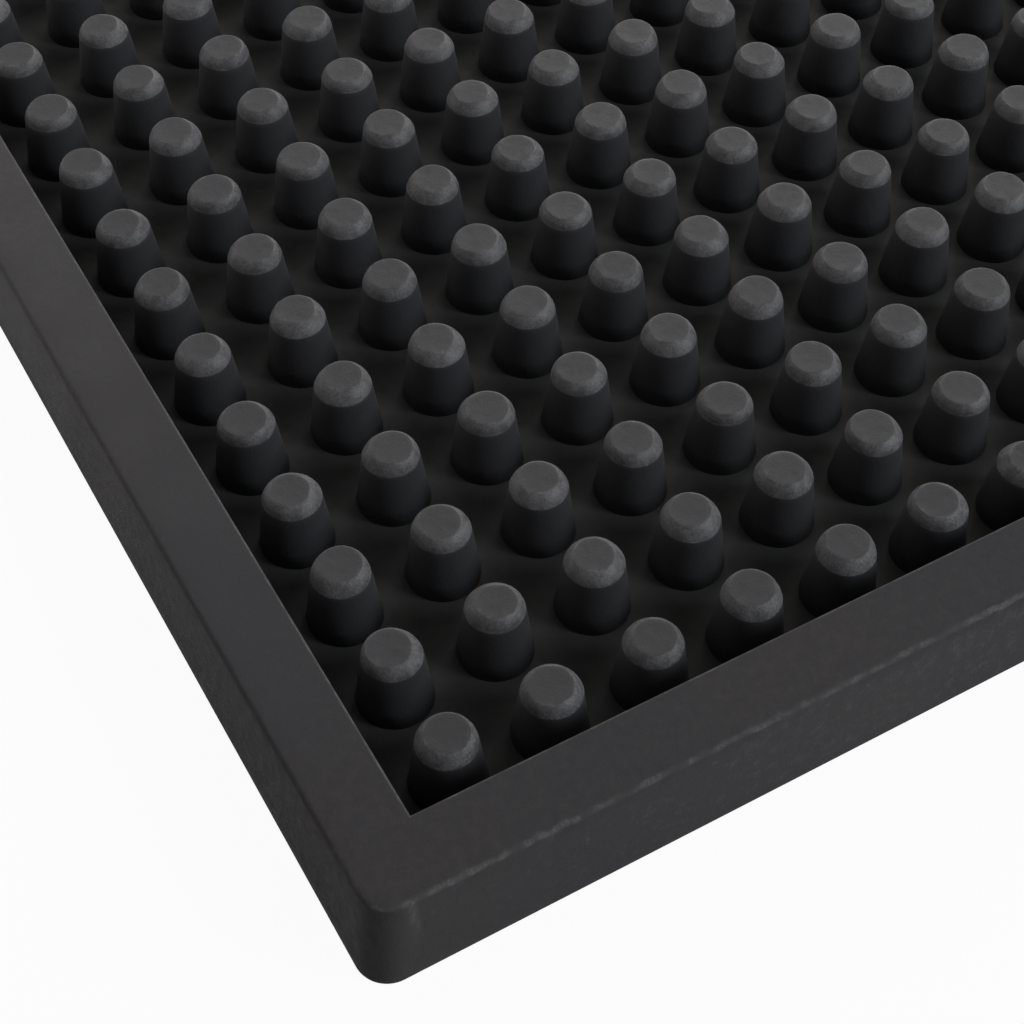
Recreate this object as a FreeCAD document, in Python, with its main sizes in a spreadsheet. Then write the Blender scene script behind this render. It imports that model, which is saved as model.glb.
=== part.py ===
"""Rubber bar service mat: a shallow tray with a raised border and rows of round studs.

The real mat is one rubber moulding. It is built here as its moulded regions, which meet face to face:
the floor web, the four sides of the border, and the rows of studs. Millimetres. The origin is the centre
of the underside, +X runs along the long side, +Y along the short side and +Z up.
"""

import FreeCAD, Part
import Sketcher

import os

# Driving dimensions, in millimetres and as the text that the sheet's cells hold
DIMENSIONS = {
    # Whole mat
    "mat_length": "450",
    "mat_width": "300",
    "mat_height": "10",
    # Border: a drafted bar all round, with a flat top
    "rim_width": "7",  # flat top, from the outer top edge to the inner one
    "outer_draft": "1.3",  # how far the outer wall leans out between its top and its foot
    "inner_draft": "0.3",  # how far the inner wall leans in between its top and the floor
    "corner_radius": "3",  # outer corners, the same from the foot to the top
    "edge_round": "0.6",  # outer top edge
    # Floor web
    "floor_thick": "1.8",
    # Studs: a tapered flank, a chamfered cap and a flat top
    "stud_base_dia": "7.2",
    "stud_cap_dia": "5.7",
    "stud_top_dia": "3.8",
    "stud_chamfer": "1.3",  # height of the chamfer
    "stud_drop": "0.5",  # how far the stud tops lie below the border's top
    "stud_spacing": "10.2",  # nominal, rounded so that whole studs fill each span
    "stud_margin_x": "14.6",  # from the mat's foot to the first and last stud centres
    "stud_margin_y": "13.9",
}

# Sizes worked out from the sheet, as expressions
STUD_HEIGHT = "(Sizes.mat_height - Sizes.stud_drop - Sizes.floor_thick)"
STUD_SPAN_X = "(Sizes.mat_length - 2 * Sizes.stud_margin_x)"
STUD_SPAN_Y = "(Sizes.mat_width - 2 * Sizes.stud_margin_y)"
STUDS_PER_ROW = f"round({STUD_SPAN_X} / Sizes.stud_spacing) + 1"
TRAY_INSET = "(Sizes.outer_draft + Sizes.rim_width + Sizes.inner_draft)"
TRAY_LENGTH = f"(Sizes.mat_length - 2 * {TRAY_INSET})"
TRAY_WIDTH = f"(Sizes.mat_width - 2 * {TRAY_INSET})"
MITRE_DEPTH = "Sizes.mat_width / 4"  # well past the border's inner wall

CLOSE = 0.01  # heights nearer than this are the same height

doc = FreeCAD.newDocument("bar_mat")
sheet = doc.addObject("Spreadsheet::Sheet", "Sizes")
for line, (alias, value) in enumerate(DIMENSIONS.items(), start=1):
    sheet.set(f"A{line}", alias)
    sheet.set(f"B{line}", value)
    sheet.setAlias(f"B{line}", alias)
doc.recompute()


def origin_feature(body, role):
    """The body's own origin plane or axis with this role."""
    return next(f for f in body.Origin.OriginFeatures if f.Role == role)


def add_body(name):
    """A new body, labelled with the name of its node."""
    body = doc.addObject("PartDesign::Body", name)
    body.Label = name
    return body


def add_sketch(body, name, plane, height="0"):
    """A sketch on one of the body's origin planes, lifted along its normal by an expression."""
    sketch = body.newObject("Sketcher::SketchObject", name)
    sketch.AttachmentSupport = [(origin_feature(body, plane), "")]
    sketch.MapMode = "FlatFace"
    sketch.setExpression("AttachmentOffset.Base.z", height)
    return sketch


def bind(sketch, constraint, name, expression):
    """Adds a dimension to the sketch and ties it to an expression."""
    index = sketch.addConstraint(constraint)
    sketch.renameConstraint(index, name)
    sketch.setExpression(f"Constraints.{name}", expression)


def draw_loop(sketch, points):
    """Closed run of straight edges through these points, in order."""
    corners = [FreeCAD.Vector(x, y, 0) for x, y in points]
    for start, end in zip(corners, corners[1:] + corners[:1]):
        sketch.addGeometry(Part.LineSegment(start, end), False)
    for edge in range(len(corners)):
        following = (edge + 1) % len(corners)
        sketch.addConstraint(Sketcher.Constraint("Coincident", edge, 2, following, 1))


def draw_rectangle(sketch, length, width):
    """A rectangle about the sketch's origin, its two sizes given as expressions."""
    draw_loop(sketch, [(-50, -30), (50, -30), (50, 30), (-50, 30)])
    for edge, direction in enumerate(("Horizontal", "Vertical", "Horizontal", "Vertical")):
        sketch.addConstraint(Sketcher.Constraint(direction, edge))
    # The corners that start the first and third edges lie opposite each other about the origin
    sketch.addConstraint(Sketcher.Constraint("Symmetric", 0, 1, 2, 1, -1, 1))
    bind(sketch, Sketcher.Constraint("DistanceX", 0, 1, 0, 2, 100), "length", length)
    bind(sketch, Sketcher.Constraint("DistanceY", 1, 1, 1, 2, 60), "width", width)


def add_pad(body, name, sketch, height):
    """A pad straight up from the sketch."""
    pad = body.newObject("PartDesign::Pad", name)
    pad.Profile = sketch
    pad.setExpression("Length", height)
    return pad


def add_pocket_up(body, name, sketch, height):
    """A pocket that rises from its sketch by this height."""
    pocket = body.newObject("PartDesign::Pocket", name)
    pocket.Profile = sketch
    pocket.Reversed = True
    pocket.setExpression("Length", height)
    return pocket


def names_of_edges(shape, wanted):
    """The names, such as Edge3, of the shape's edges that the test accepts."""
    return [f"Edge{i}" for i, edge in enumerate(shape.Edges, start=1) if wanted(edge)]


def names_of_faces(shape, wanted):
    """The names, such as Face3, of the shape's faces that the test accepts."""
    return [f"Face{i}" for i, face in enumerate(shape.Faces, start=1) if wanted(face)]


def spans_height(piece):
    """Whether an edge or a face reaches from the mat's foot to its top."""
    return piece.BoundBox.ZLength > sheet.mat_height - CLOSE


def build_border_ring():
    """The whole border as one drafted ring with rounded outer corners, before it is mitred."""
    body = add_body("border_ring")
    foot = add_sketch(body, "foot_outline", "XY_Plane")
    draw_rectangle(foot, "Sizes.mat_length", "Sizes.mat_width")
    block = add_pad(body, "outer_block", foot, "Sizes.mat_height")
    doc.recompute()

    sides = names_of_faces(block.Shape, spans_height)
    underside = names_of_faces(block.Shape, lambda face: face.BoundBox.ZMax < CLOSE)
    draft = body.newObject("PartDesign::Draft", "outer_draft")
    draft.Base = (block, sides)
    draft.NeutralPlane = (block, underside)
    draft.setExpression("Angle", "atan(Sizes.outer_draft / Sizes.mat_height)")
    doc.recompute()

    corners = body.newObject("PartDesign::Fillet", "outer_corners")
    corners.Base = (draft, names_of_edges(draft.Shape, spans_height))
    corners.setExpression("Radius", "Sizes.corner_radius")
    doc.recompute()

    # The tray's hollow: upright beside the floor web, then drafted up to the border's inner top edge
    web_outline = add_sketch(body, "web_outline", "XY_Plane")
    draw_rectangle(web_outline, TRAY_LENGTH, TRAY_WIDTH)
    add_pocket_up(body, "web_opening", web_outline, "Sizes.floor_thick")
    tray_outline = add_sketch(body, "tray_outline", "XY_Plane", "Sizes.floor_thick")
    draw_rectangle(tray_outline, TRAY_LENGTH, TRAY_WIDTH)
    depth = "(Sizes.mat_height - Sizes.floor_thick)"
    tray = add_pocket_up(body, "tray_opening", tray_outline, depth)
    tray.setExpression("TaperAngle", f"atan(Sizes.inner_draft / {depth})")
    doc.recompute()

    top = sheet.mat_height
    reach = sheet.mat_length / 2 - sheet.outer_draft - sheet.rim_width / 2
    side_reach = sheet.mat_width / 2 - sheet.outer_draft - sheet.rim_width / 2

    def is_outer_top(edge):
        box = edge.BoundBox
        at_top = box.ZMin > top - CLOSE
        outside = max(box.XMax, -box.XMin) > reach or max(box.YMax, -box.YMin) > side_reach
        return at_top and outside

    lip = body.newObject("PartDesign::Fillet", "outer_top_edge")
    lip.Base = (tray, names_of_edges(tray.Shape, is_outer_top))
    lip.setExpression("Radius", "Sizes.edge_round")
    doc.recompute()
    return body


def build_border_side(name, ring, run, across, turn):
    """One side of the border: the part of the ring inside a wedge that is mitred at both corners.

    run is the side's length and across the mat's size at right angles to it, as expressions, and turn is
    the angle about Z that takes the front of the mat to this side.
    """
    wedge = doc.addObject("Part::Wedge", f"{name}_wedge")
    limits = {
        "Xmin": f"-{run} / 2",
        "Xmax": f"{run} / 2",
        "X2min": f"-{run} / 2 + {MITRE_DEPTH}",
        "X2max": f"{run} / 2 - {MITRE_DEPTH}",
        "Ymin": f"-{across} / 2",
        "Ymax": f"-{across} / 2 + {MITRE_DEPTH}",
        "Zmin": "0",
        "Zmax": "Sizes.mat_height",
        "Z2min": "0",
        "Z2max": "Sizes.mat_height",
    }
    for limit, expression in limits.items():
        wedge.setExpression(limit, expression)
    wedge.Placement = FreeCAD.Placement(
        FreeCAD.Vector(0, 0, 0), FreeCAD.Rotation(FreeCAD.Vector(0, 0, 1), turn)
    )
    side = doc.addObject("Part::Common", name)
    side.Label = name
    side.Base = ring
    side.Tool = wedge
    return side


def build_tray_floor():
    """The floor web, which fills the ring's opening at its foot."""
    body = add_body("tray_floor")
    outline = add_sketch(body, "floor_outline", "XY_Plane")
    draw_rectangle(outline, TRAY_LENGTH, TRAY_WIDTH)
    add_pad(body, "floor_web", outline, "Sizes.floor_thick")
    return body


def draw_stud_profile(sketch):
    """Half of a stud's section, from its axis outwards: base, flank, chamfer and flat top."""
    draw_loop(sketch, [(0, 0), (4, 0), (3, 6), (2, 8), (0, 8)])
    base, top, axis = 0, 3, 4
    sketch.addConstraint(Sketcher.Constraint("Coincident", base, 1, -1, 1))
    sketch.addConstraint(Sketcher.Constraint("Horizontal", base))
    sketch.addConstraint(Sketcher.Constraint("Horizontal", top))
    sketch.addConstraint(Sketcher.Constraint("Vertical", axis))
    cap_corner, top_corner = (1, 2), (2, 2)
    radii = {"base": (0, 2), "cap": cap_corner, "top": top_corner}
    for part, (edge, end) in radii.items():
        across = Sketcher.Constraint("DistanceX", -1, 1, edge, end, 3)
        bind(sketch, across, f"{part}_radius", f"Sizes.stud_{part}_dia / 2")
    rise = Sketcher.Constraint("DistanceY", -1, 1, *top_corner, 8)
    bind(sketch, rise, "height", STUD_HEIGHT)
    chamfer = Sketcher.Constraint("DistanceY", *cap_corner, *top_corner, 1)
    bind(sketch, chamfer, "chamfer", "Sizes.stud_chamfer")


def build_stud_row(number, rows):
    """One row of studs along X, each stud a solid of its own that stands on the floor web."""
    name = f"stud_row_{number:02d}"
    body = add_body(name)
    body.AllowCompound = True
    profile = add_sketch(body, f"{name}_profile", "XZ_Plane")
    draw_stud_profile(profile)
    stud = body.newObject("PartDesign::Revolution", f"{name}_stud")
    stud.Profile = profile
    stud.ReferenceAxis = (profile, ["V_Axis"])
    stud.Angle = 360
    row = body.newObject("PartDesign::LinearPattern", f"{name}_pattern")
    row.Originals = [stud]
    row.Direction = (origin_feature(body, "X_Axis"), [""])
    row.setExpression("Length", STUD_SPAN_X)
    row.setExpression("Occurrences", STUDS_PER_ROW)
    body.Tip = row
    body.setExpression("Placement.Base.x", f"-{STUD_SPAN_X} / 2")
    share = (number - 1) / (rows - 1) - 0.5
    body.setExpression("Placement.Base.y", f"{share} * {STUD_SPAN_Y}")
    body.setExpression("Placement.Base.z", "Sizes.floor_thick")
    return body


def row_count():
    """How many rows fill the mat's width at about the nominal spacing."""
    span = sheet.mat_width - 2 * sheet.stud_margin_y
    return round(span / sheet.stud_spacing) + 1


ring = build_border_ring()
long_side = ("Sizes.mat_length", "Sizes.mat_width")
short_side = ("Sizes.mat_width", "Sizes.mat_length")
nodes = [
    build_tray_floor(),
    build_border_side("border_front", ring, *long_side, 0),
    build_border_side("border_right", ring, *short_side, 90),
    build_border_side("border_back", ring, *long_side, 180),
    build_border_side("border_left", ring, *short_side, 270),
]
rows = row_count()
nodes += [build_stud_row(number, rows) for number in range(1, rows + 1)]
doc.recompute()

for thing in doc.Objects:
    if "Invalid" in thing.State or "Error" in thing.State:
        raise RuntimeError(f"{thing.Label} did not recompute: {thing.State}")
labels = [node.Label for node in nodes]
if len(set(labels)) != len(labels):
    raise RuntimeError("two nodes share a label")
for node in nodes:
    if node.Shape.isNull() or not node.Shape.isValid():
        raise RuntimeError(f"{node.Label} has no valid shape")

os.makedirs("parts", exist_ok=True)
for node in nodes:
    node.Shape.exportStep(f"parts/{node.Label}.step")
studs = sum(len(node.Shape.Solids) for node in nodes if node.Label.startswith("stud_row"))
print(f"{len(nodes)} nodes, {studs} studs in {rows} rows")
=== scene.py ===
"""Looks of a rubber bar service mat: a drafted border, a floor web and rows of chamfered studs.

Everything is in metres in the frame of the CAD model. The border and the studs are finer meshes in the
place of their CAD nodes, and the floor web is the CAD node itself with a rubber material.
"""

import math
import random
from typing import NamedTuple, Optional

import bmesh
import bpy
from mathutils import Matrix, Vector, noise


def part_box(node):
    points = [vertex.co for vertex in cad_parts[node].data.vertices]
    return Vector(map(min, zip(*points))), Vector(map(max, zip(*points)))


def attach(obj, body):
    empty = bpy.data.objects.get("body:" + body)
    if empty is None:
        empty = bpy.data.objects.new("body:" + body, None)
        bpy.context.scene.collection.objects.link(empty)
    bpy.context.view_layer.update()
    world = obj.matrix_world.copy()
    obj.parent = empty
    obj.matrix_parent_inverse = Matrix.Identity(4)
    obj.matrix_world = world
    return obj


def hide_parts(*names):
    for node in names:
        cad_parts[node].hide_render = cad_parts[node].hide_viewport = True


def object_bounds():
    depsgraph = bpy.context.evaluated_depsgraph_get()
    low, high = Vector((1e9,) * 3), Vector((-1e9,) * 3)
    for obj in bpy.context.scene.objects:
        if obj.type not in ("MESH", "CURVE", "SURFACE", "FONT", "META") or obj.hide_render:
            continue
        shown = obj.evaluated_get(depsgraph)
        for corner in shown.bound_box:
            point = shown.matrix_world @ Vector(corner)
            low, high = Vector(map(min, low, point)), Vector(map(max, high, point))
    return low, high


MM = 0.001

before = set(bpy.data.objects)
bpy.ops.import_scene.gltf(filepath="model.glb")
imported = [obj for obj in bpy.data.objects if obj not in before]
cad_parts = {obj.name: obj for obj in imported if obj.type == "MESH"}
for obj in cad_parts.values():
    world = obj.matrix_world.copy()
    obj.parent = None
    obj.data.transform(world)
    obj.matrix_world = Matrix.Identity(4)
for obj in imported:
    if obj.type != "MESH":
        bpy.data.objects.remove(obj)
cad_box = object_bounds()


# ---------------------------------------------------------------- sizes, from the frame and the moulding

mat_low, mat_high = (Vector(corner) for corner in cad_box)
floor_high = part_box("tray_floor")[1]
row_names = sorted(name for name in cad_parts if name.startswith("stud_row_"))
side_names = sorted(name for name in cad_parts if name.startswith("border_"))

MAT_HALF = Vector((mat_high.x, mat_high.y))
MAT_HEIGHT = mat_high.z
FLOOR_TOP = floor_high.z
TRAY_INSET = mat_high.x - floor_high.x  # foot of the outer wall to foot of the inner wall

OUTER_DRAFT = 1.3 * MM
RIM_WIDTH = 7.0 * MM
CORNER_RADIUS = 3.0 * MM
EDGE_ROUND = 0.6 * MM
FOOT_ROUND = 0.2 * MM
LIP_ROUND = 0.2 * MM

STUD_BASE_RADIUS = 3.6 * MM
STUD_CAP_RADIUS = 2.85 * MM
STUD_TOP_RADIUS = 1.9 * MM
STUD_CHAMFER = 1.3 * MM
STUDS_PER_ROW = 42


def clamp(value):
    """The value held between 0 and 1."""
    return min(1.0, max(0.0, value))


def noise_at(place, size):
    """Smooth noise, between about -1 and 1, whose features are about this many metres across."""
    return noise.noise(Vector(place) / size)


# ---------------------------------------------------------------- materials

def new_material(name):
    """A material with its nodes, its links and a Principled shader."""
    material = bpy.data.materials.new(name)
    material.use_nodes = True
    nodes, links = material.node_tree.nodes, material.node_tree.links
    nodes.clear()
    output = nodes.new("ShaderNodeOutputMaterial")
    shader = nodes.new("ShaderNodeBsdfPrincipled")
    links.new(shader.outputs["BSDF"], output.inputs["Surface"])
    return material, nodes, links, shader


def add_noise(nodes, links, coordinates, size, detail, roughness):
    """A noise texture whose features are about this many metres across."""
    texture = nodes.new("ShaderNodeTexNoise")
    texture.inputs["Scale"].default_value = 1.0 / size
    texture.inputs["Detail"].default_value = detail
    texture.inputs["Roughness"].default_value = roughness
    links.new(coordinates, texture.inputs["Vector"])
    return texture.outputs["Fac"]


def read_attribute(nodes, name):
    """A number that the mesh carries at each of its points."""
    node = nodes.new("ShaderNodeAttribute")
    node.attribute_name = name
    return node.outputs["Fac"]


def remap(nodes, links, value, span, onto=(0.0, 1.0)):
    """The value stretched from one span onto another and held inside it."""
    node = nodes.new("ShaderNodeMapRange")
    node.inputs["From Min"].default_value, node.inputs["From Max"].default_value = span
    node.inputs["To Min"].default_value, node.inputs["To Max"].default_value = onto
    links.new(value, node.inputs["Value"])
    return node.outputs["Result"]


def combine(nodes, links, operation, first, second):
    """A math node on two sockets or numbers."""
    node = nodes.new("ShaderNodeMath")
    node.operation = operation
    for socket, value in zip(node.inputs, (first, second)):
        if isinstance(value, (int, float)):
            socket.default_value = value
        else:
            links.new(value, socket)
    return node.outputs["Value"]


def weigh(nodes, links, first, second, share):
    """The first value's share of the whole, with the second value making up the rest."""
    part = combine(nodes, links, "MULTIPLY", first, share)
    rest = combine(nodes, links, "MULTIPLY", second, 1 - share)
    return combine(nodes, links, "ADD", part, rest)


def mix_colour(nodes, links, factor, first, second):
    """A mix of two colours, each a socket or a plain colour."""
    node = nodes.new("ShaderNodeMix")
    node.data_type = "RGBA"
    links.new(factor, node.inputs["Factor"])
    for name, value in (("A", first), ("B", second)):
        socket = next(s for s in node.inputs if s.name == name and s.type == "RGBA")
        if isinstance(value, tuple):
            socket.default_value = (*value, 1.0)
        else:
            links.new(value, socket)
    return next(s for s in node.outputs if s.type == "RGBA")


# The rubber's three patterns, from the widest to the finest
FILM_SIZE = 30 * MM
MOTTLE_SIZE = 1.1 * MM
GRAIN_SIZE = 0.24 * MM

FILM_IN_TONE = 0.45  # the film's share of the tone, and the mottle makes up the rest
GRAIN_IN_GRIT = 0.65
GRAIN_IN_BUMP = 0.5

# The spans of noise over which each effect goes from nothing to full
TONE_SPAN = (0.38, 0.62)
PATCH_SPAN = (0.40, 0.58)
PALE_SPAN = (0.40, 0.64)
MOTTLE_SPAN = (0.3, 0.7)

RAGGEDNESS = 0.2  # how far the mottling moves the limit of the grit
FULL_GRIT = 0.75  # the "grit" at which every pale grain shows


def rubber(name, warm, cool, worn_and_highlight, speck_and_highlight, patches, grain_depth, roughness, polish, specular):
    """Moulded black rubber.

    warm and cool are the two ends of its mottling, and worn_and_highlight is its colour where the mesh's
    wear_and_painted_light is 1: worn, dusty rubber, and on the border's edges also a painted highlight.
    speck_and_highlight is the pale grit that its grit_and_highlight brings out, there too partly a painted
    highlight. patches is the share of the wear_and_painted_light that is left where it is thinnest, and
    polish how much roughness it takes away. grain_depth is the depth of its grain, in metres.
    """
    material, nodes, links, shader = new_material(name)
    place = nodes.new("ShaderNodeTexCoord").outputs["Object"]
    film = add_noise(nodes, links, place, FILM_SIZE, detail=2.0, roughness=0.55)
    mottle = add_noise(nodes, links, place, MOTTLE_SIZE, detail=4.0, roughness=0.62)
    grain = add_noise(nodes, links, place, GRAIN_SIZE, detail=3.0, roughness=0.65)
    wear_and_painted_light = read_attribute(nodes, "wear_and_painted_light")
    grit_and_highlight = read_attribute(nodes, "grit_and_highlight")

    tone = remap(nodes, links, weigh(nodes, links, film, mottle, FILM_IN_TONE), TONE_SPAN)
    colour = mix_colour(nodes, links, tone, warm, cool)

    # The pale worn colour: worn, dusty rubber, and on the border's outer edge, corner streak and inner lip a
    # painted highlight
    patchy = remap(nodes, links, mottle, PATCH_SPAN, onto=(patches, 1.0))
    worn_and_highlight_share = combine(nodes, links, "MULTIPLY", wear_and_painted_light, patchy)
    colour = mix_colour(nodes, links, worn_and_highlight_share, colour, worn_and_highlight)

    pale = remap(nodes, links, weigh(nodes, links, grain, mottle, GRAIN_IN_GRIT), PALE_SPAN)
    uneven = remap(nodes, links, mottle, MOTTLE_SPAN, onto=(-RAGGEDNESS, RAGGEDNESS))
    ragged = combine(nodes, links, "ADD", grit_and_highlight, uneven)
    ragged = remap(nodes, links, ragged, (RAGGEDNESS, FULL_GRIT))
    grit_and_highlight_share = combine(nodes, links, "MULTIPLY", pale, ragged)
    colour = mix_colour(nodes, links, grit_and_highlight_share, colour, speck_and_highlight)
    links.new(colour, shader.inputs["Base Color"])

    matt = remap(nodes, links, mottle, MOTTLE_SPAN, onto=roughness)
    shine = combine(nodes, links, "MULTIPLY", wear_and_painted_light, polish)
    links.new(combine(nodes, links, "SUBTRACT", matt, shine), shader.inputs["Roughness"])
    shader.inputs["Specular IOR Level"].default_value = specular

    bump = nodes.new("ShaderNodeBump")
    bump.inputs["Strength"].default_value = 1.0
    bump.inputs["Distance"].default_value = grain_depth
    links.new(weigh(nodes, links, grain, mottle, GRAIN_IN_BUMP), bump.inputs["Height"])
    links.new(bump.outputs["Normal"], shader.inputs["Normal"])
    return material


border_rubber = rubber(
    "border_rubber", warm=(0.0386, 0.0354, 0.0358), cool=(0.0328, 0.0318, 0.0344),
    worn_and_highlight=(0.059, 0.056, 0.057), speck_and_highlight=(0.091, 0.087, 0.087), patches=0.6,
    grain_depth=0.07 * MM, roughness=(0.74, 0.88), polish=0.12, specular=0.07)
# The tray floor is darker than the border, though it is the same rubber: a painted shade for the shade
# between the studs
floor_rubber = rubber(
    "floor_rubber", warm=(0.0270, 0.0261, 0.0254), cool=(0.0244, 0.0251, 0.0239),
    worn_and_highlight=(0.026, 0.026, 0.026), speck_and_highlight=(0.035, 0.035, 0.035), patches=0.5,
    grain_depth=0.05 * MM, roughness=(0.70, 0.84), polish=0.0, specular=0.12)
# The studs' warm and cool colours, which show on their flanks, are darker than the border's rubber: a
# painted shade for the shade between the studs. Their pale cap colour is dust and wear
stud_rubber = rubber(
    "stud_rubber", warm=(0.0138, 0.0136, 0.0148), cool=(0.0124, 0.0127, 0.0146),
    worn_and_highlight=(0.0495, 0.0472, 0.0482), speck_and_highlight=(0.0850, 0.0823, 0.0862), patches=0.65,
    grain_depth=0.075 * MM, roughness=(0.66, 0.76), polish=0.16, specular=0.25)


# ---------------------------------------------------------------- meshes

def finish_mesh(name, vertices, faces, wear_and_painted_light, grit_and_highlight, material):
    """A smooth-shaded piece from points and faces, with its wear_and_painted_light and grit_and_highlight in
    point attributes.
    """
    mesh = bpy.data.meshes.new(name)
    mesh.from_pydata(vertices, [], faces)
    for attribute_name, values in (("wear_and_painted_light", wear_and_painted_light), ("grit_and_highlight", grit_and_highlight)):
        attribute = mesh.attributes.new(attribute_name, "FLOAT", "POINT")
        attribute.data.foreach_set("value", values)
    mesh.materials.append(material)
    mesh.shade_smooth()
    piece = bpy.data.objects.new(name, mesh)
    bpy.context.scene.collection.objects.link(piece)
    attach(piece, "root")
    return piece


def arc(centre, radius, start, end, steps):
    """Points on a circular arc, angles in degrees, both ends included."""
    points = []
    for step in range(steps + 1):
        angle = math.radians(start + (end - start) * step / steps)
        points.append((centre[0] + radius * math.cos(angle), centre[1] + radius * math.sin(angle)))
    return points


# ---------------------------------------------------------------- border, its shape

RUN_STEP = 0.9 * MM  # mean length of one quad along the border
RUN_CROWDING = 0.6  # how much shorter the quads are beside a corner, and longer half way along
CORNER_STEPS = 14
FOOT_STEPS = 3
EDGE_STEPS = 8

FLAT_UNEVENNESS = 0.02 * MM
EDGE_UNEVENNESS = 0.10 * MM
FLAT_FOOT = 1.0 * MM  # the foot, up to this height, does not sink


def straight(begin, end, steps):
    """Points on a straight stretch, both ends left out, closer together near the ends."""
    points = []
    for step in range(1, steps):
        share = step / steps
        share -= RUN_CROWDING * math.sin(2 * math.pi * share) / (2 * math.pi)
        points.append((begin[0] + (end[0] - begin[0]) * share, begin[1] + (end[1] - begin[1]) * share))
    return points


def border_outline(inset, height):
    """The border's outline this far in from its foot, anticlockwise, the same count at every inset.

    The corners keep one radius up the drafted wall, and shrink further in."""
    wall_inset = OUTER_DRAFT * height / MAT_HEIGHT
    radius = max(CORNER_RADIUS - max(inset - wall_inset, 0.0), 0.0)
    reach_x = MAT_HALF.x - inset - radius
    reach_y = MAT_HALF.y - inset - radius
    turns = []
    for side_x, side_y, start in ((1, -1, 270), (1, 1, 0), (-1, 1, 90), (-1, -1, 180)):
        turns.append(arc((side_x * reach_x, side_y * reach_y), radius, start, start + 90, CORNER_STEPS))
    points = []
    for index, turn in enumerate(turns):
        length = 2 * (MAT_HALF.y if index % 2 == 0 else MAT_HALF.x)
        next_turn = turns[(index + 1) % len(turns)]
        points += turn + straight(turn[-1], next_turn[0], round(length / RUN_STEP))
    return points


class SectionPoint(NamedTuple):
    """A point of the border's section, and what the rubber is like there."""

    inset: float  # from the foot of the outer wall
    height: float
    wear_and_painted_light: float = 0.0
    grit_and_highlight: float = 0.0
    unevenness: float = 0.0  # how far the surface may sink
    over: Optional[float] = None  # share of the way over the rounded outer edge, or None away from it


def border_section():
    """The border's section from the inner foot round the underside to the tray wall."""
    lean = OUTER_DRAFT / MAT_HEIGHT
    draft = math.degrees(math.atan(lean))
    top_inset = OUTER_DRAFT + RIM_WIDTH

    section = [SectionPoint(TRAY_INSET, 0.0), SectionPoint(FOOT_ROUND, 0.0)]
    foot_centre = (FOOT_ROUND, FOOT_ROUND)
    for inset, height in arc(foot_centre, FOOT_ROUND, 270, 180 - draft, FOOT_STEPS)[1:]:
        section.append(SectionPoint(inset, height, wear_and_painted_light=0.1, grit_and_highlight=0.2, unevenness=FLAT_UNEVENNESS))
    for share in (0.15, 0.4, 0.65, 0.85):
        height = MAT_HEIGHT * share
        section.append(SectionPoint(lean * height, height, unevenness=FLAT_UNEVENNESS))

    # The rounded outer edge is tangent to the drafted wall and to the flat top
    tangent = EDGE_ROUND * math.tan(math.radians(90 - draft) / 2)
    edge_inset = OUTER_DRAFT + tangent
    edge_centre = (edge_inset, MAT_HEIGHT - EDGE_ROUND)
    for step, (inset, height) in enumerate(arc(edge_centre, EDGE_ROUND, 180 - draft, 90, EDGE_STEPS)):
        over = step / EDGE_STEPS
        section.append(SectionPoint(inset, height, unevenness=EDGE_UNEVENNESS, over=over))
    for share in (0.06, 0.3, 0.65, 0.93):
        inset = edge_inset + (top_inset - edge_inset) * share
        section.append(SectionPoint(inset, MAT_HEIGHT, unevenness=FLAT_UNEVENNESS))

    # The inner lip: how far each point is out from the tray wall and down from the top, as shares of the
    # lip's rounding, and then its wear_and_painted_light, grit_and_highlight and unevenness. The pale band
    # they make along the inner top edge is a painted highlight.
    for out, down, wear_and_painted_light, grit_and_highlight, unevenness in (
        (1.40, 0.0, 0.0, 0.0, FLAT_UNEVENNESS),
        (0.70, 0.0, 0.8, 0.9, 0.04 * MM),
        (0.25, 0.2, 1.0, 1.0, 0.06 * MM),
        (0.00, 1.0, 0.7, 0.7, 0.05 * MM),
    ):
        inset, height = top_inset - out * LIP_ROUND, MAT_HEIGHT - down * LIP_ROUND
        section.append(SectionPoint(inset, height, wear_and_painted_light, grit_and_highlight, unevenness))
    for share in (0.08, 0.5, 1.0):
        inset = top_inset + (TRAY_INSET - top_inset) * share
        section.append(SectionPoint(inset, MAT_HEIGHT + (FLOOR_TOP - MAT_HEIGHT) * share))
    return section


# ---------------------------------------------------------------- border, its wear, dust and painted light

class Film(NamedTuple):
    """A pale film that is nothing up to its start, from a corner, and thickens over its run: partly dust,
    and partly a painted shade that leaves the walls darker near the corners.
    """

    most: float
    start: float
    run: float


SHORT_SIDE_FILM = Film(most=0.8, start=12 * MM, run=75 * MM)
LONG_WALL_FILM = Film(most=0.2, start=10 * MM, run=60 * MM)
FILM_PATCH_SIZE = 6 * MM
DARK_FOOT = 0.5 * MM  # the height up to which the walls get no film or speckle: a thin painted shade at their foot

WALL_REACH = 1.5 * MM  # how far in from the mat's outline the outer walls and their edges reach
WALL_SPECKLE = 0.27  # the grit on the long sides' outer walls, away from the corners: a faint mottling
SPECKLE_AT_CORNER = 0.4  # the share of it that is left at a corner, a fading that is painted shade there
SPECKLE_RUN = 40 * MM

# The short sides' edge band as a share of the long sides', whose fullness is mostly painted highlight
SHORT_EDGE_SHARE = 0.2
CORNER_EDGE_WEAR = 0.5  # how much more than that a short side's edge is rubbed at a corner
CORNER_WEAR_REACH = 8 * MM

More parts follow.
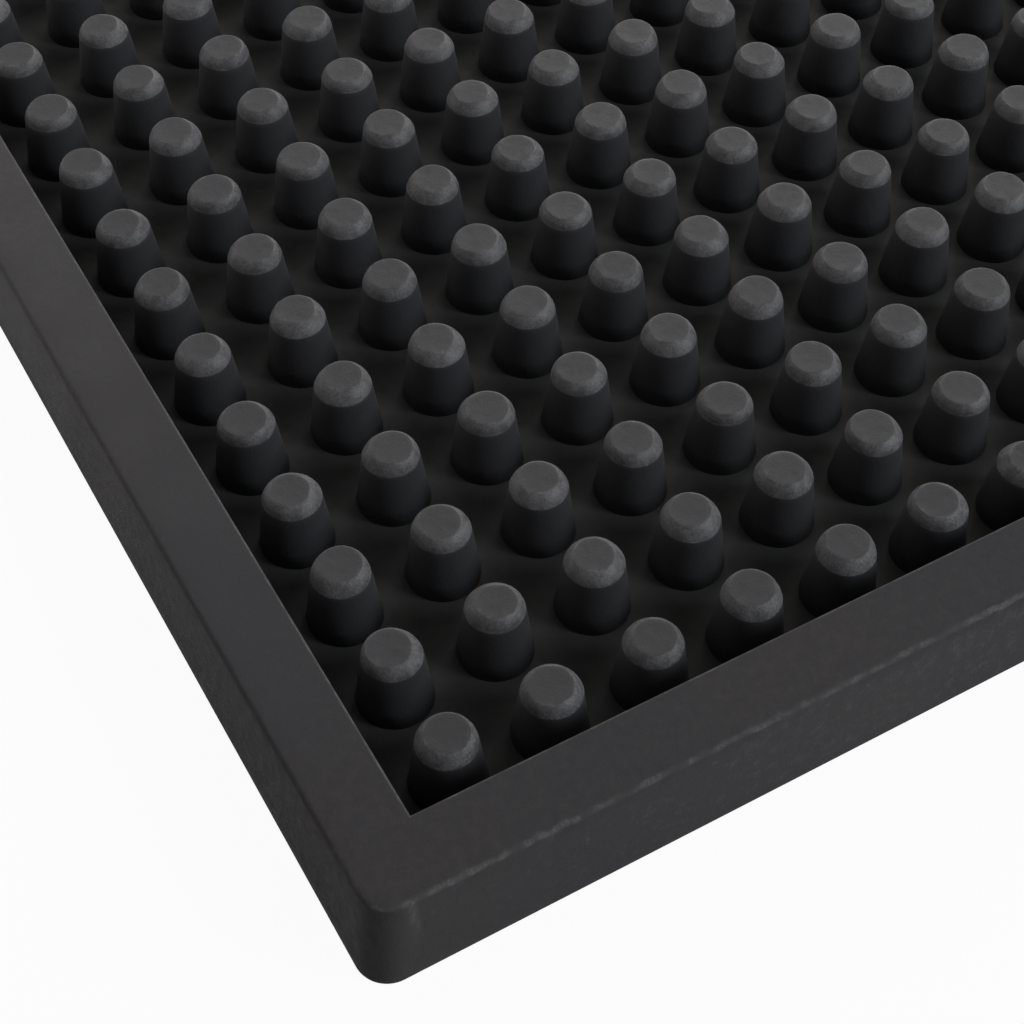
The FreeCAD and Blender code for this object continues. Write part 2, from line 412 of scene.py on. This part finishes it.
# The corner streak is a painted highlight, a pale upright band beside each corner
STREAK_STRENGTH = 2.0
STREAK_PLACE = CORNER_RADIUS + 1.75 * MM  # from the mat's end
STREAK_WIDTH = 0.35 * MM
STREAK_FOOT = 1.0 * MM
STREAK_PATCH_SIZE = 0.8 * MM

# The noises that make the border's sinking and wear uneven: the strength and the size of each
ROUGHNESS_NOISES = ((0.6, 2.3 * MM), (0.5, 0.9 * MM))
DRIFT = 0.25  # how far the pale edge band, wear and painted highlight, wanders over its rounding, as a share of the way
DRIFT_SIZE = 1.3 * MM


def on_long_side(x, y):
    """Whether a point of the border is on one of the two long sides."""
    return MAT_HALF.y - abs(y) < MAT_HALF.x - abs(x)


def on_long_wall(x, y, height):
    """Whether a point of the border is on the outer wall of one of the two long sides."""
    near_face = MAT_HALF.y - abs(y) < WALL_REACH
    return on_long_side(x, y) and near_face and DARK_FOOT < height < MAT_HEIGHT - EDGE_ROUND


def edge_wear_and_highlight(x, y):
    """How pale the outer edge is: fully on the long sides, little on the short ones but at the corners. It
    is partly wear and partly a painted highlight, full where the light catches the long sides.
    """
    if on_long_side(x, y):
        return 1.0
    from_corner = MAT_HALF.y - abs(y)
    return SHORT_EDGE_SHARE + CORNER_EDGE_WEAR * math.exp(-(from_corner / CORNER_WEAR_REACH) ** 2)


def dust_film_and_corner_shade(x, y, height):
    """The thin pale film, thicker away from the corners: partly dust where the mat is held, and partly a
    painted shade that keeps the walls darker near the corners.

    It lies all over the short sides, and faintly on the walls of the long ones."""
    if on_long_wall(x, y, height):
        film, from_corner = LONG_WALL_FILM, MAT_HALF.x - abs(x)
    elif height > DARK_FOOT and not on_long_side(x, y):
        film, from_corner = SHORT_SIDE_FILM, MAT_HALF.y - abs(y)
    else:
        return 0.0
    thick = clamp((from_corner - film.start) / film.run)
    return film.most * thick * (0.85 + 0.4 * noise_at((x, y, height), FILM_PATCH_SIZE))


def wall_speckle(x, y, height):
    """The faint mottling on the outer wall of a long side, which fades toward the corners as a painted
    shade.
    """
    if not on_long_wall(x, y, height):
        return 0.0
    past_corner = clamp((MAT_HALF.x - abs(x)) / SPECKLE_RUN)
    return WALL_SPECKLE * (SPECKLE_AT_CORNER + (1 - SPECKLE_AT_CORNER) * past_corner)


def corner_highlight_streak(x, y, height):
    """A soft upright pale streak where the long side begins at an outside corner: a painted highlight."""
    if abs(y) < MAT_HALF.y - WALL_REACH or height < STREAK_FOOT:
        return 0.0
    from_middle = MAT_HALF.x - STREAK_PLACE - abs(x)
    near = math.exp(-(from_middle / STREAK_WIDTH) ** 2)
    patchy = 0.7 + 0.6 * noise_at((x, y, height), STREAK_PATCH_SIZE)
    return STREAK_STRENGTH * near * (height / MAT_HEIGHT) ** 3 * patchy


def border_vertex(point, x, y):
    """A vertex of the border where its section's point comes to x, y, with its wear_and_painted_light and
    its grit_and_highlight.
    """
    rough = sum(strength * noise_at((x, y, point.inset), size) for strength, size in ROUGHNESS_NOISES)
    sink = point.unevenness * (0.5 + 0.5 * rough)
    inward = Vector((-x / MAT_HALF.x, -y / MAT_HALF.y)) * sink * 0.5
    drop = sink if point.height > FLAT_FOOT else 0.0
    vertex = (x + inward.x, y + inward.y, point.height - drop)

    wear_and_painted_light, grit_and_highlight = point.wear_and_painted_light, point.grit_and_highlight
    # The pale band over the outer edge and the corner streak are partly painted highlight, and the film is
    # partly painted shade near the corners
    if point.over is not None:
        drift = DRIFT * noise_at((x, y, 0), DRIFT_SIZE)
        wear_and_painted_light = grit_and_highlight = math.sin(math.pi * clamp(point.over + drift)) * edge_wear_and_highlight(x, y)
    streak = corner_highlight_streak(x, y, point.height)
    wear_and_painted_light = wear_and_painted_light * (0.8 + 0.8 * rough) + streak + dust_film_and_corner_shade(x, y, point.height)
    grit_and_highlight = grit_and_highlight * (0.55 + 1.5 * rough) + 0.5 * streak + wall_speckle(x, y, point.height)
    return vertex, clamp(wear_and_painted_light), clamp(grit_and_highlight)


# ---------------------------------------------------------------- border, its mesh

WELD_DISTANCE = 0.0005 * MM
CREASE_ANGLE = math.radians(40)


def ring_faces(ring_count, point_count):
    """Quads between closed rings of points, the last ring joined to the first."""
    faces = []
    for ring in range(ring_count):
        here, there = ring * point_count, (ring + 1) % ring_count * point_count
        for point in range(point_count):
            after = (point + 1) % point_count
            faces.append((here + point, here + after, there + after, there + point))
    return faces


def weld_and_crease(mesh):
    """Joins points that fall on one another, turns the faces outward and keeps the sharp edges crisp."""
    shell = bmesh.new()
    shell.from_mesh(mesh)
    bmesh.ops.remove_doubles(shell, verts=shell.verts, dist=WELD_DISTANCE)
    bmesh.ops.recalc_face_normals(shell, faces=shell.faces)
    for edge in shell.edges:
        edge.smooth = not (edge.is_manifold and edge.calc_face_angle() > CREASE_ANGLE)
    shell.to_mesh(mesh)
    shell.free()


def build_border():
    """The whole border as one closed ring."""
    section = border_section()
    vertices, wear_and_painted_light, grit_and_highlight = [], [], []
    for point in section:
        for x, y in border_outline(point.inset, point.height):
            vertex, vertex_wear, vertex_grit = border_vertex(point, x, y)
            vertices.append(vertex)
            wear_and_painted_light.append(vertex_wear)
            grit_and_highlight.append(vertex_grit)
    faces = ring_faces(len(section), len(vertices) // len(section))
    piece = finish_mesh("border_skin", vertices, faces, wear_and_painted_light, grit_and_highlight, border_rubber)
    weld_and_crease(piece.data)
    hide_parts(*side_names)


# ---------------------------------------------------------------- studs

STUD_SEGMENTS = 32
CRISPNESS = 0.06 * MM  # how tight the turn from flank to chamfer is
CHAMFER_SWELL = 0.10 * MM
CAP_UNEVENNESS = 0.05 * MM
FLANK_UNEVENNESS = 0.01 * MM
RIPPLE_SIZE = 0.9 * MM
CAP_RISE = 0.04 * MM  # how far the cap's points rise or fall
CAP_RISE_SIZE = 0.6 * MM
TOP_DIP = 0.04 * MM  # the middle of the top below its rim
TOP_WEAR = 0.26
TOP_GRIT = 0.08

# How the studs differ: the most that a top leans aside, and the limits of the other differences
TOP_SHIFT = 0.22 * MM
TOP_LOSS = (0.08 * MM, 0.16 * MM)
CAP_LOSS = (0.0, 0.08 * MM)
TOP_GAIN = (0.0, 0.25 * MM)
DUST_SHARE = (0.85, 1.1)
EDGE_ROW_SHADE = 0.72  # the caps of the rows beside the long borders get less of the pale cap colour: a painted shade that makes them darker


class StudRing(NamedTuple):
    """A ring of a stud's surface, and what the rubber is like there."""

    radius: float
    height: float
    wear_and_painted_light: float = 0.0
    grit_and_highlight: float = 0.0
    shifted: float = 0.0  # its share of the top's shift


def stud_rings(cap_edge, height, cap_radius, top_radius):
    """A stud's rings from its foot to its top."""

    def flank(z, grit_and_highlight=0.0):
        radius = STUD_BASE_RADIUS + (cap_radius - STUD_BASE_RADIUS) * z / cap_edge
        return StudRing(radius, z, grit_and_highlight=grit_and_highlight)

    rings = [flank(cap_edge * share) for share in (0.0, 0.3, 0.65, 0.9)]
    rings.append(flank(cap_edge - CRISPNESS, grit_and_highlight=0.1))
    rings.append(StudRing(cap_radius - 0.3 * CRISPNESS, cap_edge + 0.6 * CRISPNESS, wear_and_painted_light=0.8, grit_and_highlight=0.8))
    for share in (0.25, 0.6, 0.9):
        swell = CHAMFER_SWELL * math.sin(math.pi * share)
        radius = cap_radius + (top_radius - cap_radius) * share + swell
        chamfer_height = cap_edge + (height - cap_edge) * share + swell * 0.7
        rings.append(StudRing(radius, chamfer_height, wear_and_painted_light=1.0, grit_and_highlight=1.0, shifted=share))
    # The top's rim and its shallow dip
    for radius, dip, wear_and_painted_light, grit_and_highlight in (
        (top_radius, 0.25 * TOP_DIP, 0.85, 0.75),
        (top_radius - 0.10 * MM, 0.0, 0.39, 0.20),
        (top_radius * 0.75, 0.75 * TOP_DIP, 0.30, 0.10),
        (top_radius * 0.4, TOP_DIP, TOP_WEAR, TOP_GRIT),
    ):
        rings.append(StudRing(radius, height - dip, wear_and_painted_light, grit_and_highlight, shifted=1.0))
    return rings


def add_stud(vertices, faces, wear_and_painted_light, grit_and_highlight, centre, full_height, dust_and_shade, chance):
    """Adds one stud, a little different from the next, to the mesh of its row."""
    shift = Vector((chance.uniform(-1, 1), chance.uniform(-1, 1), 0)) * TOP_SHIFT
    height = full_height - chance.uniform(*TOP_LOSS)
    # cap_dust_and_shade is the stud's dust, lowered on the rows beside the border as painted shade
    cap_dust_and_shade = dust_and_shade * chance.uniform(*DUST_SHARE)
    turn = chance.uniform(0, 2 * math.pi / STUD_SEGMENTS)
    cap_radius = STUD_CAP_RADIUS - chance.uniform(*CAP_LOSS)
    top_radius = STUD_TOP_RADIUS + chance.uniform(*TOP_GAIN)
    rings = stud_rings(full_height - STUD_CHAMFER, height, cap_radius, top_radius)

    foot = len(vertices)
    for ring in rings:
        on_cap = ring.wear_and_painted_light > 0
        unevenness = CAP_UNEVENNESS if on_cap else FLANK_UNEVENNESS
        for segment in range(STUD_SEGMENTS):
            angle = turn + 2 * math.pi * segment / STUD_SEGMENTS
            way = Vector((math.cos(angle), math.sin(angle), 0))
            place = centre + way * ring.radius + Vector((0, 0, ring.height))
            ripple = noise_at(place, RIPPLE_SIZE)
            sink = unevenness * (0.5 + 0.5 * ripple) if ring.height > 0 else 0.0
            point = place + shift * ring.shifted - way * sink
            if on_cap:
                point.z += CAP_RISE * noise_at(place, CAP_RISE_SIZE)
            vertices.append(tuple(point))
            wear_and_painted_light.append(clamp(ring.wear_and_painted_light * cap_dust_and_shade * (0.95 + 0.3 * ripple)))
            grit_and_highlight.append(clamp(ring.grit_and_highlight * (0.8 + 0.9 * ripple)))
    middle = len(vertices)
    vertices.append(tuple(centre + shift + Vector((0, 0, height - TOP_DIP))))
    wear_and_painted_light.append(TOP_WEAR * cap_dust_and_shade)
    grit_and_highlight.append(TOP_GRIT)

    top_ring = middle - STUD_SEGMENTS
    for low in range(foot, top_ring, STUD_SEGMENTS):
        high = low + STUD_SEGMENTS
        for segment in range(STUD_SEGMENTS):
            after = (segment + 1) % STUD_SEGMENTS
            faces.append((low + segment, low + after, high + after, high + segment))
    for segment in range(STUD_SEGMENTS):
        faces.append((top_ring + segment, top_ring + (segment + 1) % STUD_SEGMENTS, middle))
    faces.append(tuple(foot + segment for segment in reversed(range(STUD_SEGMENTS))))


def build_stud_row(name, seed, dust_and_shade):
    """One row of studs, each a little different, as moulded rubber studs are."""
    chance = random.Random(seed)
    low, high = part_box(name)
    first = low.x + STUD_BASE_RADIUS
    spacing = (high.x - low.x - 2 * STUD_BASE_RADIUS) / (STUDS_PER_ROW - 1)
    vertices, faces, wear_and_painted_light, grit_and_highlight = [], [], [], []
    for index in range(STUDS_PER_ROW):
        centre = Vector((first + index * spacing, (low.y + high.y) / 2, low.z))
        add_stud(vertices, faces, wear_and_painted_light, grit_and_highlight, centre, high.z - low.z, dust_and_shade, chance)
    piece = finish_mesh(f"{name}_skin", vertices, faces, wear_and_painted_light, grit_and_highlight, stud_rubber)
    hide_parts(name)


build_border()
for seed, name in enumerate(row_names):
    # The rows beside the long borders get darker caps, a painted shade
    beside_border = name in (row_names[0], row_names[-1])
    build_stud_row(name, seed, dust_and_shade=EDGE_ROW_SHADE if beside_border else 1.0)
floor_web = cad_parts["tray_floor"]
floor_web.data.materials.clear()
floor_web.data.materials.append(floor_rubber)


# ---------------------------------------------------------------- stage, light and camera

PAPER_HALF = 3.0  # half the width of the floor, in metres
PAPER_GAP = 0.02 * MM  # how far it lies below the mat
PAPER_GREY = 0.62
PAPER_GLOW = 0.95  # how much of it is plain white to the eye, the rest being paper that takes a shadow


def shown_to_eye(nodes, links):
    """1 for a ray that the camera, a mirror or glass sends, and 0 for light falling on the object."""
    path = nodes.new("ShaderNodeLightPath")
    seen = combine(nodes, links, "MAXIMUM", path.outputs["Is Camera Ray"], path.outputs["Is Glossy Ray"])
    return combine(nodes, links, "MAXIMUM", seen, path.outputs["Is Transmission Ray"])


def build_floor():
    """A wide white floor that keeps a faint shadow."""
    mesh = bpy.data.meshes.new("floor")
    corners = [(x * PAPER_HALF, y * PAPER_HALF, 0) for x, y in ((-1, -1), (1, -1), (1, 1), (-1, 1))]
    mesh.from_pydata(corners, [], [(0, 1, 2, 3)])
    floor = bpy.data.objects.new("floor", mesh)
    floor.location.z = -PAPER_GAP
    bpy.context.scene.collection.objects.link(floor)
    material = bpy.data.materials.new("floor_paper")
    material.use_nodes = True
    nodes, links = material.node_tree.nodes, material.node_tree.links
    nodes.clear()
    output = nodes.new("ShaderNodeOutputMaterial")
    paper = nodes.new("ShaderNodeBsdfDiffuse")
    paper.inputs["Color"].default_value = (PAPER_GREY, PAPER_GREY, PAPER_GREY, 1)
    glow = nodes.new("ShaderNodeEmission")
    glow.inputs["Color"].default_value = (1, 1, 1, 1)
    mix = nodes.new("ShaderNodeMixShader")
    share = combine(nodes, links, "MULTIPLY", shown_to_eye(nodes, links), PAPER_GLOW)
    links.new(share, mix.inputs["Fac"])
    links.new(paper.outputs["BSDF"], mix.inputs[1])
    links.new(glow.outputs["Emission"], mix.inputs[2])
    links.new(mix.outputs["Shader"], output.inputs["Surface"])
    mesh.materials.append(material)


def build_world(light):
    """A white surround to the eye and a plain grey light on the object."""
    world = bpy.data.worlds.new("studio")
    bpy.context.scene.world = world
    world.use_nodes = True
    nodes, links = world.node_tree.nodes, world.node_tree.links
    nodes.clear()
    output = nodes.new("ShaderNodeOutputWorld")
    seen = nodes.new("ShaderNodeBackground")
    seen.inputs["Strength"].default_value = 1.0
    falling = nodes.new("ShaderNodeBackground")
    falling.inputs["Strength"].default_value = light
    mix = nodes.new("ShaderNodeMixShader")
    links.new(shown_to_eye(nodes, links), mix.inputs["Fac"])
    for background in (seen, falling):
        background.inputs["Color"].default_value = (1, 1, 1, 1)
    links.new(falling.outputs["Background"], mix.inputs[1])
    links.new(seen.outputs["Background"], mix.inputs[2])
    links.new(mix.outputs["Shader"], output.inputs["Surface"])


def direction(azimuth, elevation):
    """The unit vector at these angles in degrees. Azimuth 0 is toward +Y, 90 toward +X."""
    az, el = math.radians(azimuth), math.radians(elevation)
    return Vector((math.sin(az) * math.cos(el), math.cos(az) * math.cos(el), math.sin(el)))


def add_softbox(name, target, azimuth, elevation, distance, size, level, colour):
    """A square lamp that faces the target.

    level is how bright it alone would show a white surface that faces it."""
    lamp = bpy.data.lights.new(name, "AREA")
    lamp.shape = "SQUARE"
    lamp.size = size
    lamp.energy = level * (math.pi * distance) ** 2
    lamp.color = colour
    holder = bpy.data.objects.new(name, lamp)
    bpy.context.scene.collection.objects.link(holder)
    way = direction(azimuth, elevation)
    holder.location = target + way * distance
    holder.rotation_euler = way.to_track_quat("Z", "Y").to_euler()


def build_camera(target, azimuth, depression, distance, lens):
    """A camera that looks along the azimuth and down by the depression, at the target."""
    data = bpy.data.cameras.new("camera")
    data.lens = lens
    data.sensor_width = 36.0
    data.clip_start = 0.01
    camera = bpy.data.objects.new("camera", data)
    bpy.context.scene.collection.objects.link(camera)
    forward = direction(azimuth, -depression)
    camera.location = target - forward * distance
    camera.rotation_euler = (-forward).to_track_quat("Z", "Y").to_euler()
    bpy.context.scene.camera = camera


AIM_FROM_CORNER = Vector((31.0, 31.8)) * MM  # the middle of the picture, from the near corner
SIDE_LAMP_FROM_CORNER = 110 * MM  # where the small lamp points, along the left side

stud_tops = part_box(row_names[0])[1].z
aim = Vector((mat_low.x + AIM_FROM_CORNER.x, mat_low.y + AIM_FROM_CORNER.y, stud_tops))
far_left = Vector((mat_low.x, mat_low.y + SIDE_LAMP_FROM_CORNER, stud_tops))

build_floor()
build_world(light=0.19)
add_softbox("front_right_softbox", aim, azimuth=134, elevation=30, distance=1.0, size=0.4, level=0.94,
            colour=(0.90, 0.96, 1.0))
add_softbox("back_right_softbox", aim, azimuth=40, elevation=29, distance=0.5, size=0.34, level=0.72,
            colour=(1.0, 0.962, 0.957))
add_softbox("back_left_softbox", far_left, azimuth=312, elevation=26, distance=0.15, size=0.09, level=0.5,
            colour=(1.0, 0.97, 0.97))
build_camera(aim, azimuth=29.34, depression=52.18, distance=0.18493, lens=71.35)

scene = bpy.context.scene
scene.view_settings.view_transform = "Standard"
